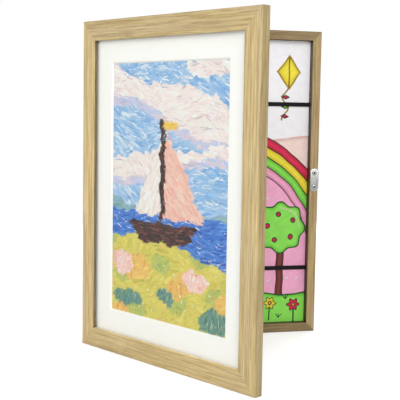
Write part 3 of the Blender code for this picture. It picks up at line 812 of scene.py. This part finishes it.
stile_low, stile_high = shut_box("door_stile_hinge")
door_low = np.array((frame_low[0], stile_low[1], 0.0))
door_high = np.array((frame_high[0], stile_high[1], frame_high[2]))
moulding_width = np.ptp(shut_box("door_rail_bottom"), 0)[2]
pane_low = shut_box("glazing")[0]
pane_clearance = 0.5 * mm
glass_rebate = door_low[0] + moulding_width - (pane_low[0] - pane_clearance)
door_outline = strip_outline(moulding_width, glass_rebate, pane_low[1] - board_gap - door_low[1],
                             door_high[1] - door_low[1])
door_oak = oak_finish("door_oak", light_of(235, 210, 153), light_of(173, 145, 90))
magnet_low, magnet_high = shut_box("door_magnet")
magnet_middle = (magnet_low + magnet_high) / 2
magnet_radius = (magnet_high[0] - magnet_low[0]) / 2
pocket_gap = 0.3 * mm
pocket = [(magnet_radius + pocket_gap, depth)
          for depth in (magnet_low[1] - pocket_gap, magnet_high[1] + 2 * mm)]
# Each side gives its face's darkening and its inner side's. The faces differ partly by their own tone and
# partly by painted shade. The dark inner sides, most of all the hinge stile's sight edge, are painted
# shade, and the bottom rail's pale lip, below zero, is painted light.
door_strips = {"left": ("door_stile_hinge", (0.0, 0.68)), "right": ("door_stile_free", (0.12, 0.5)),
               "bottom": ("door_rail_bottom", (0.14, -0.2)), "top": ("door_rail_top", (0.21, 0.2))}
for side, (node, shades) in door_strips.items():
    pockets = [turned_mesh(pocket, magnet_middle)] if side == "right" else []
    open_door(add_strip("door_side_" + side, side, "door", node, door_low, door_high, door_outline,
                        door_oak, shades, pockets))


# The glazing is a clear acrylic sheet. A coating takes most of the glare away, so that little more
# than a faint veil lies over the picture: a little real reflection, and the sheet's pale colour, almost
# wholly see-through, as painted glare.
clear_sheet = new_tree(bpy.data.materials.new("clear_sheet"))
dress("glazing", clear_sheet.node("BsdfPrincipled", {}, Base_Color=(0.50, 0.55, 0.57), Roughness=0.03,
                                  Alpha=0.03, Specular_IOR_Level=1.0).close())


# The mat is white board with a window cut at a slant, so that its white core shows as a fine bevel. It
# holds the picture back from the glazing.
place = new_finish("mat_board")
felt = place.noise(420, 4, 0.6)
whites = light_of(249, 249, 242), light_of(253, 253, 248)
dress("mat_board", place.surface(felt.step(0.25, 0.75).blend(*whites), 0.9, (felt, 0.05 * mm, 0.3)))


# The picture in the door is a thick painting on paper: a sailing boat on a lake by a yellow meadow,
# under a blue sky with cream clouds. Every stroke is a low ridge of paint on the sheet.
picture_low, picture_high = shut_box("shown_picture")
picture_middle = (picture_low + picture_high) / 2
mat_points = shut_points("mat_board")
mat_half = np.ptp(mat_points[:, 0]) / 2
window = mat_points[np.abs(mat_points[:, 0] - picture_middle[0]) < 0.99 * mat_half]
window_half = np.ptp(window, 0)[[0, 2]] / 2 / mm
paint_reach = window_half + 3
random = np.random.default_rng(11)


def oval(u, v, middle, radii):
    """True inside an oval."""
    return ((u - middle[0]) / radii[0]) ** 2 + ((v - middle[1]) / radii[1]) ** 2 < 1


def block(u, v, low, high):
    """True inside a rectangle."""
    return (u > low[0]) & (u < high[0]) & (v > low[1]) & (v < high[1])


def cloud_bank(u, v, height, slope, half, swell, length):
    """True inside a long bank of cloud: its middle line is straight, and its top edge is puffed."""
    up = v - height - slope * u
    puff = 3.5 * np.abs(np.sin(u / 9 + 0.4)) + 2 * np.abs(np.sin(u / 3.6 + v / 11))
    return np.abs(up) < half + swell * np.sin(u / length) + puff * (up > 0)


def scenery(u, v):
    """What lies at places given in millimetres from the picture's middle. Later things cover earlier."""
    u, v = (u + 1.3 * np.sin(v / 5 + 1) + 0.9 * np.sin(v / 2.3 + u / 9),
            v + 1.3 * np.sin(u / 6) + 0.9 * np.sin(u / 2.7 + v / 8))
    ground = -50 + 6 * np.sin(u / 30 + 2.2) - 0.08 * u
    lawn = v < ground
    things = {
        "lilac": cloud_bank(u, v, 76, -0.25, 15, 7, 25) | cloud_bank(u, v, 22, 0.14, 6, 4, -28),
        "cloud": cloud_bank(u, v, 84, -0.25, 14, 7, 25) | cloud_bank(u, v, 29, 0.14, 6, 4, -28)
        | oval(u, v, (58, 116), (34, 9)),
        "hills": (v < -12 + 6 * np.sin(u / 15 + 1)) & (np.abs(u - 12) > 30),
        "lake": v < -20,
        "meadow": lawn,
        "grass": lawn & (np.sin(u / 15 - v / 21 + 2) * np.sin(v / 9 + u / 33) > 0.5),
        "gold": lawn & (np.sin(u / 19 + v / 31) * np.sin(v / 12 - u / 27) > 0.42),
        "reeds": oval(u, v, (66, -112), (20, 12)) | oval(u, v, (-58, -106), (23, 8))
        | oval(u, v, (0, -98), (12, 7)),
        "hull": (np.abs(u + 6) < 34 + (v + 48) * 0.9) & block(u, v, (-70, -48), (60, -29)),
        "mast": block(u, v, (-10, -30), (-3.5, 66)),
        "sail": (u > -3) & (v > -24) & ((u + 3) / 56 + (v + 24) / 88 < 1),
        "jib": (u < -10) & (v > -22) & ((-10 - u) / 38 + (v + 22) / 72 < 1),
        "flag": block(u, v, (-4, 60), (14, 68)),
        "bush": oval(u, v, (-66, -72), (16, 12)) | oval(u, v, (40, -78), (17, 10)),
    }
    seen = np.full(u.shape, "sky", dtype="U8")
    for name, inside in things.items():
        seen[inside] = name
    return seen


def leaning(angle, sway=0.0, across=1.0, up=0.0):
    """A way for strokes to run: an angle that sways over the picture."""
    return lambda u, v: angle + sway * np.sin(across * u + up * v)


def round_about(middle):
    """A way for strokes to run: round a place."""
    return lambda u, v: np.arctan2(v - middle[1], u - middle[0]) + 1.4


brushwork = {
    "sky": ([(158, 199, 235), (142, 189, 232), (182, 214, 239), (122, 176, 228), (214, 232, 244),
        (150, 195, 233)], (18, 3.8), leaning(-0.22, 0.28, 0.035, 0.023)),
    "lilac": ([(204, 210, 238), (220, 212, 228), (190, 208, 238), (236, 218, 220)], (15, 3.4),
        leaning(-0.24, 0.25, 0.06)),
    "cloud": ([(252, 243, 235), (247, 231, 225), (253, 249, 243), (243, 225, 223), (252, 240, 230)],
        (16, 4.4), leaning(-0.22, 0.35, 0.05)),
    "hills": ([(150, 186, 196), (122, 170, 160), (166, 200, 190), (140, 178, 214)], (10, 2.6),
        leaning(0.1, 0.2, 0.05)),
    "meadow": ([(226, 210, 96), (216, 206, 90), (236, 220, 108), (206, 200, 78), (230, 222, 116)],
        (10, 2.9), leaning(0.2, 0.7, 0.043, 0.05)),
    "grass": ([(190, 200, 96), (170, 190, 98), (202, 208, 110)], (10, 2.6), leaning(0.4, 0.6, 0.05)),
    "gold": ([(240, 202, 92), (238, 184, 90), (247, 218, 122), (232, 170, 98), (244, 196, 112)], (9, 2.6),
        leaning(0.9, 0.6, 0.06)),
    "reeds": ([(84, 140, 128), (108, 160, 130), (74, 122, 118), (142, 178, 122), (110, 150, 170)],
        (9, 2.0), leaning(1.2, 0.5, 0.11)),
    "lake": ([(64, 124, 212), (54, 108, 198), (82, 144, 224), (46, 94, 184), (104, 164, 230)], (13, 2.8),
        leaning(0.0, 0.15, 0.1)),
    "hull": ([(58, 28, 24), (26, 14, 16), (88, 44, 36), (126, 72, 54), (38, 18, 22)], (12, 2.8),
        leaning(0.0, 0.1, 0.1)),
    "mast": ([(62, 32, 26), (34, 18, 18), (104, 60, 46)], (12, 3.0), leaning(1.57)),
    "sail": ([(251, 208, 190), (248, 196, 176), (252, 218, 202), (246, 184, 164)], (13, 3.4),
        leaning(2.13, 0.12, 0.1)),
    "jib": ([(252, 247, 238), (247, 236, 224), (255, 251, 246), (241, 226, 214)], (12, 3.2),
        leaning(1.09, 0.12, 0.1)),
    "flag": ([(250, 216, 96), (246, 200, 84)], (8, 2.6), leaning(0.1)),
    "bush": ([(252, 240, 230), (250, 198, 184), (246, 176, 160), (252, 222, 212)], (6, 3.2),
        round_about((-7, -74))),
}
layers = []


def lay(count, scale, only=(), accents=(), loose=0.18, slim=1.0):
    """Lay strokes at random over the picture, or over the named things only.

    A stroke takes its colour, size and way from what lies there, or its colour from the accents. Slim
    strokes are longer and narrower. A stroke that would run over a thing's edge is made shorter.
    """
    spots = random.uniform(-1, 1, (count * 14 if only else count, 2)) * paint_reach
    if only:
        spots = spots[np.isin(scenery(*spots.T), only)][:count]
    found, count = scenery(*spots.T), len(spots)
    layer = {"middle": spots, "turn": random.normal(0, loose, count),
             "length": scale * slim * random.uniform(0.5, 1.3, count),
             "width": scale / slim * random.uniform(0.55, 1.3, count),
             "bend": random.normal(0, 0.08, count),
             "colour": np.empty((count, 3)), "streak": np.empty((count, 3))}
    for name in np.unique(found):
        here = np.flatnonzero(found == name)
        paints, size, way = brushwork[name]
        paints = np.array([light_of(*paint) for paint in accents or paints])
        layer["turn"][here] += way(*spots[here].T)
        layer["length"][here] *= size[0]
        layer["width"][here] *= size[1]
        for key in ("colour", "streak"):
            chosen = paints[random.integers(0, len(paints), len(here))]
            layer[key][here] = chosen * random.normal(1, 0.05, (len(here), 1))
    reach = layer["length"][:, None] / 2 * np.c_[np.cos(layer["turn"]), np.sin(layer["turn"])]
    astray = (scenery(*(spots + reach).T) != found) | (scenery(*(spots - reach).T) != found)
    layer["length"][astray] *= 0.5
    layer["width"][astray] *= 0.8
    layers.append(layer)


cream, blush = [(255, 252, 246)], [(250, 190, 176), (236, 130, 108)]
lay(960, 1.3)
lay(1120, 0.9)
lay(80, 0.5, ("cloud", "lilac"), [(206, 190, 196), (176, 184, 206), (214, 190, 184)], 0.3, 2.2)
lay(120, 0.5, ("sky",), cream, 0.35, 1.6)
lay(80, 0.6, ("reeds",), (), 0.6, 1.3)
lay(90, 0.5, ("reeds",), [(214, 226, 196), (226, 214, 120), (58, 104, 106)], 0.5, 1.7)
lay(150, 0.8, ("lake",))
lay(60, 0.4, ("lake",), cream, 0.2, 1.5)
lay(170, 0.8, ("hull",), (), 0.1, 1.2)
lay(40, 0.5, ("hull",), [(160, 98, 70), (186, 122, 90), (14, 8, 10)], 0.1, 1.6)
lay(200, 0.8, ("sail", "jib"), (), 0.1)
lay(50, 0.5, ("sail",), [(244, 150, 132), (250, 236, 224)], 0.1, 1.6)
lay(500, 0.7, ("mast",), (), 0.05)
lay(200, 0.8, ("flag",), (), 0.15)
lay(90, 0.7, ("bush",), (), 1.0)
lay(40, 0.5, ("bush",), cream + blush, 1.2)
lay(140, 0.5, ("meadow", "grass", "gold"), [(170, 176, 84), (238, 172, 92), (248, 228, 128)], 0.6, 1.6)
lay(60, 0.35, ("meadow", "grass", "gold"), cream + blush, 1.2)

# A stroke is a grid, with t along it and c across it from -1 to 1. It narrows with the cube of t and
# bends with its square. It has three ridges, and the later it is laid, the higher it lies.
strokes = {key: np.concatenate([layer[key] for layer in layers]) for key in layers[0]}
length, width, turn, bend = (strokes[key][:, None, None] for key in ("length", "width", "turn", "bend"))
count = len(turn)
stations, lanes = 6, 5
t = np.linspace(-1, 1, stations)[None, :, None]
c = np.linspace(-1, 1, lanes)[None, None, :]
ragged = 1 + random.normal(0, 0.10, (count, stations, 1))
half_width = width / 2 * (1 - 0.6 * np.abs(t) ** 3) * ragged
aside = half_width * c + bend * length * (t ** 2 - 0.4)
forward = length / 2 * t * (1 + 0.12 * random.normal(0, 1, (count, 1, lanes)))
u = strokes["middle"][:, 0, None, None] + forward * np.cos(turn) - aside * np.sin(turn)
v = strokes["middle"][:, 1, None, None] + forward * np.sin(turn) + aside * np.cos(turn)
layer_height = np.linspace(0.03, 0.14, count)[:, None, None]
furrow = np.array((0, 1, 0.35, 1, 0))[None, None, :]
ridge = 0.26 * furrow * (1 + 0.5 * random.normal(0, 1, (count, stations, lanes))).clip(0.2, 2.2)
under_mat = np.maximum(np.abs(u) - window_half[0], np.abs(v) - window_half[1]) > -3
height = np.minimum(layer_height + ridge, np.where(under_mat, 0.18, 0.5))
rim = np.maximum(np.abs(t) > 0.99, np.abs(c) > 0.99)
height = np.where(rim, -0.06, height)
stroke_points = np.stack([picture_middle[0] + u * mm, picture_low[1] - height * mm,
                          picture_middle[2] + v * mm], -1).reshape(-1, 3)
stroke_faces = np.arange(count)[:, None, None] * stations * lanes + grid_faces(stations, lanes)
mixing = random.uniform(0, 1, (count, 1, lanes, 1)) ** 2 * 0.7
colours, streaks = (strokes[key][:, None, None, :] for key in ("colour", "streak"))
colours = colours * (1 - mixing) + streaks * mixing
colours = np.broadcast_to(colours, (count, stations, lanes, 3)).reshape(-1, 3).clip(0, 0.95)

under_grid = (126, 92)
under_points = sheet_points(picture_low, picture_high, *under_grid, lambda x, z: 0 * x)
under_u, under_v = ((under_points[:, axis] - picture_middle[axis]) / mm for axis in (0, 2))
under_things = scenery(under_u, under_v)
under_colours = np.empty((len(under_u), 3))
for name, brush in brushwork.items():
    under_colours[under_things == name] = np.mean([light_of(*paint) for paint in brush[0]], 0)
bare = (np.abs(under_u) > paint_reach[0] + 3) | (np.abs(under_v) > paint_reach[1] + 3)
under_colours[bare] = light_of(244, 243, 238)

picture_faces = np.concatenate([sheet_faces(*under_grid), stroke_faces.reshape(-1, 4) + len(under_points)])
picture_mesh = new_mesh(np.concatenate([under_points, stroke_points]), picture_faces.tolist(),
                        sharp_degrees=70, turn_out=False)
all_colours = np.concatenate([under_colours, colours])
mark(picture_mesh, "paint", "FLOAT_COLOR", np.c_[all_colours, np.ones(len(all_colours))])
brush_lines = np.stack(np.broadcast_arrays(forward, aside, np.arange(count)[:, None, None] * 3.7), -1)
under_lines = np.c_[under_u, under_v, np.zeros(len(under_u))]
mark(picture_mesh, "bristle", "FLOAT_VECTOR", np.concatenate([under_lines, brush_lines.reshape(-1, 3)]))

# Each stroke keeps its own colour, combed by the bristles along it, with a soft shine.
start = new_tree(bpy.data.materials.new("thick_paint"))
colour = start.node("Attribute", {"attribute_name": "paint"}, output="Color")
lines = start.node("Attribute", {"attribute_name": "bristle"}, output="Vector")
comb = lines.noise((0.35, 5.5, 1.0), 2, 0.6).step(0.25, 0.75)
crumbs = lines.noise((2.4, 3.4, 1.0)).step(0.60, 0.75)
thick_paint = start.surface(colour * (0.88 + comb * 0.12 + crumbs * 0.05), 0.42 + comb * 0.2,
                            (comb * 0.8 + crumbs * 0.2, 0.15 * mm, 0.6), Specular_IOR_Level=0.2)
add_piece("painted_picture", picture_mesh, "door", thick_paint, "shown_picture")
open_door(picture_mesh)


# A stiff card closes the door's back. It is greyboard, pressed from waste paper, with a brown cast and
# flecks of the print and fibre that went into it.
place = new_finish("greyboard")
felt = place.noise(900, 4, 0.7)
light_fleck = place.noise((700, 700, 260), 1).step(0.68, 0.74)
dark_fleck = place.noise((260, 260, 800), 1).step(0.70, 0.76)
greys = light_of(158, 140, 116), light_of(192, 175, 148)
colour = (felt * 0.8 + place.noise(90, 3) * 0.2).step(0.3, 0.7).blend(*greys)
colour = (light_fleck * 0.6).blend(colour, light_of(224, 214, 196))
colour = (dark_fleck * 0.5).blend(colour, light_of(104, 88, 72))
dress("backing_card", place.surface(colour, 0.9, (felt, 0.06 * mm, 0.4)))


# Two butt hinges join the door to the box. Each has two zinc-plated leaves with interlocking knuckles,
# a headed pin, and two countersunk screws in each leaf.
for level in levels:
    eased_piece("hinge_leaf_box_" + level, "box", 0.1 * mm)
    eased_piece("hinge_leaf_door_" + level, "door", 0.1 * mm)
    eased_piece("hinge_pin_" + level, "box", 0.1 * mm)
    for number in "12":
        for body in ("box", "door"):
            eased_piece(f"hinge_screw_{body}_{level}_{number}", body, 0.05 * mm)


# The catch is a bright steel plate with round ends, screwed to the right wall, and a disc magnet sunk
# in the back of the door's free side. The plate's screws are countersunk, with cross recesses.
def bright_finish(name, front, start, end):
    """Bright steel brushed along the plate, darkened between two depths behind a front: painted shade in
    the recesses.
    """
    return metal_finish(name, (0.39, 0.39, 0.385), 0.24, (2600, 300, 260), (front + start, front + end))


plate_low, plate_high = corners_of("strike_plate")
plate_middle, plate_half = (plate_low + plate_high) / 2, (plate_high - plate_low) / 2
plate_round = 0.3 * mm
plate_dome = 0.45 * mm
# Behind the plate's front its steel is painted darker: painted shade on its sides by the wall and in the
# screw sinks.
plate_finish = bright_finish("bright_steel", plate_low[1], 0.6 * mm, 0.9 * mm)


def plate_mesh():
    """A plate with round ends, through outlines across it, a height apart.

    A front point lies back by a bow, the square of its height's share, and by a rounded rim: a quarter
    circle's fall over the first part of its way in from the outline.
    """
    radius, straight = plate_half[0], plate_half[2] - plate_half[0]
    rise = straight + radius * np.sin(np.linspace(0, 0.49 * pi, 13))
    z = np.concatenate([-rise[::-1], np.linspace(-straight, straight, 15)[1:-1], rise])[:, None]
    over = np.maximum(np.abs(z) - straight, 0)
    half = np.sqrt(radius ** 2 - over ** 2)
    x = half * np.sin(np.linspace(-0.5, 0.5, 25) * pi)
    share = np.minimum((radius - np.hypot(x, over)) / plate_round, 1)
    fall = plate_round * (1 - np.sqrt(np.maximum(1 - (1 - share) ** 2, 0)))
    front = plate_low[1] + plate_dome * (z / plate_half[2]) ** 2 + fall
    x = np.concatenate([x, half, -half], 1)
    y = np.concatenate([front, np.full((len(z), 2), plate_high[1])], 1)
    rings = np.broadcast_arrays(plate_middle[0] + x, y, plate_middle[2] + z)
    return tube_mesh(np.stack(rings, -1))


def cross_mesh(middle, arm, half, face, depth):
    """A cross-shaped cutter that narrows with depth, from a face along Y."""
    quarter = np.array([(arm, -half), (arm, half), (half, half)])
    spins = [np.array(((cos(a), sin(a)), (-sin(a), cos(a)))) for a in np.arange(4) * pi / 2]
    outline = np.concatenate([quarter @ spin for spin in spins])
    rings = [np.insert(outline * share + middle[[0, 2]], 1, y, axis=1)
             for y, share in ((face - depth, 1.15), (face + depth, 0.55))]
    return tube_mesh(np.array(rings))


plate = add_piece("strike_plate_bright", plate_mesh(), "box", plate_finish, "strike_plate")
screw_face = corners_of("strike_screw_upper")[0][1]
# The screws' steel is painted darker in their cross recesses and pits: painted shade.
screw_finish = bright_finish("screw_steel", screw_face, 0.2 * mm, 0.45 * mm)
crown = np.linspace(0.02, 1, 6)
sinks = []
for level in levels:
    low, high = corners_of("strike_screw_" + level)
    head, middle = (high[0] - low[0]) / 2, (low + high) / 2
    sink = [(head + 0.65 * mm, plate_low[1] - 0.1 * mm), (head + 0.35 * mm, plate_low[1] + 0.2 * mm),
            (head * 0.55, plate_high[1] + 0.4 * mm)]
    sinks.append(turned_mesh(sink, middle))
    profile = [(head * share, low[1] - 0.12 * mm * (1 - share ** 2) + 0.12 * mm) for share in crown]
    profile += [(head, low[1] + 0.25 * mm), (head * 0.52, low[1] + 1.2 * mm),
                (head * 0.52, high[1] - 1.5 * mm), (0.1 * mm, high[1])]
    screw = add_piece("plate_screw_" + level, turned_mesh(profile, middle), "box", screw_finish,
                      "strike_screw_" + level)
    pit = [(0.50 * head, low[1] - 0.3 * mm), (0.22 * head, low[1] + 0.9 * mm)]
    cross = cross_mesh(middle, 0.62 * head, 0.16 * head, low[1], 0.8 * mm)
    cut_out(screw, [cross, turned_mesh(pit, middle)])
    smooth(screw.data)
cut_out(plate, sinks)
smooth(plate.data)

nickel = metal_finish("nickel_plate", (0.52, 0.52, 0.54), 0.32, 900)
chamfer = 0.3 * mm
front, back, inner = magnet_low[1], magnet_high[1], magnet_radius - chamfer
magnet_profile = [(inner, front), (magnet_radius, front + chamfer), (magnet_radius, back - chamfer),
                  (inner, back)]
magnet_mesh = turned_mesh(magnet_profile, magnet_middle, steps=64)
add_piece("disc_magnet", magnet_mesh, "door", nickel, "door_magnet")
open_door(magnet_mesh)
